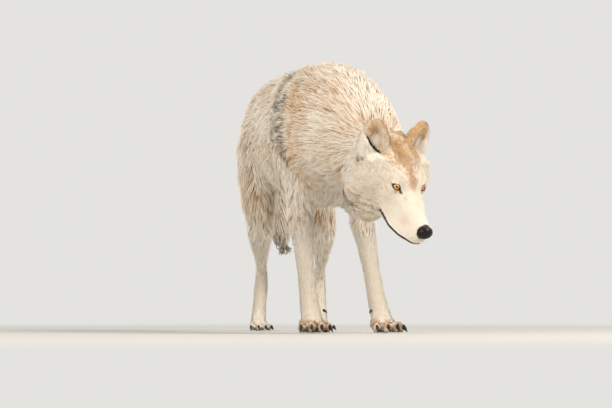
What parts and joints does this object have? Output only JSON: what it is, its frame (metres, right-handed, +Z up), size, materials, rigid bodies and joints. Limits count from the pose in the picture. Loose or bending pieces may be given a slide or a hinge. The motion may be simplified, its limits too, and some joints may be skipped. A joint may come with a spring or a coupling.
{
  "type": "arctic wolf",
  "caption": "Life-size still model of an arctic wolf in winter coat, standing with its head lowered and turned to its left, one forefoot set wide.",
  "frame": {"origin": "on the floor, under the middle of the wolf's own box", "axes": "+Z up; -Y the way the trunk faces, +Y towards the tail; +X the wolf's left side"},
  "size_m": [0.3512, 1.2572, 0.7284],
  "materials": {
    "face_fur": "short cream-white fur, tan on the forehead",
    "ear_fur": "short buff fur with dark rims, cream inside",
    "mane_fur": "long cream guard hair streaked with buff, grey tips along the back",
    "body_fur": "thick cream winter coat, grey and tan over the back",
    "leg_fur": "short white fur, tan on the toes",
    "nose_leather": "moist black pebbled skin",
    "eye_glass": "amber iris, black pupil, clear wet surface",
    "claw_horn": "dark brown-black horn"
  },
  "bodies": {
    "root": {"head": "face_fur", "lower_jaw": "face_fur", "nose": "nose_leather", "eye_right": "eye_glass", "eye_left": "eye_glass", "ear_right": "ear_fur", "ear_left": "ear_fur", "neck": "mane_fur", "trunk": "body_fur", "tail": "body_fur", "foreleg_right_shoulder": "body_fur", "foreleg_right_forearm": "leg_fur", "foreleg_right_paw": "leg_fur", "foreleg_right_claw_1": "claw_horn", "foreleg_right_claw_2": "claw_horn", "foreleg_right_claw_3": "claw_horn", "foreleg_right_claw_4": "claw_horn", "foreleg_right_dewclaw": "claw_horn", "foreleg_left_shoulder": "body_fur", "foreleg_left_forearm": "leg_fur", "foreleg_left_paw": "leg_fur", "foreleg_left_claw_1": "claw_horn", "foreleg_left_claw_2": "claw_horn", "foreleg_left_claw_3": "claw_horn", "foreleg_left_claw_4": "claw_horn", "foreleg_left_dewclaw": "claw_horn", "hindleg_right_thigh": "body_fur", "hindleg_right_shank": "leg_fur", "hindleg_right_hock": "leg_fur", "hindleg_right_paw": "leg_fur", "hindleg_right_claw_1": "claw_horn", "hindleg_right_claw_2": "claw_horn", "hindleg_right_claw_3": "claw_horn", "hindleg_right_claw_4": "claw_horn", "hindleg_left_thigh": "body_fur", "hindleg_left_shank": "leg_fur", "hindleg_left_hock": "leg_fur", "hindleg_left_paw": "leg_fur", "hindleg_left_claw_1": "claw_horn", "hindleg_left_claw_2": "claw_horn", "hindleg_left_claw_3": "claw_horn", "hindleg_left_claw_4": "claw_horn"}
  },
  "joints": []
}
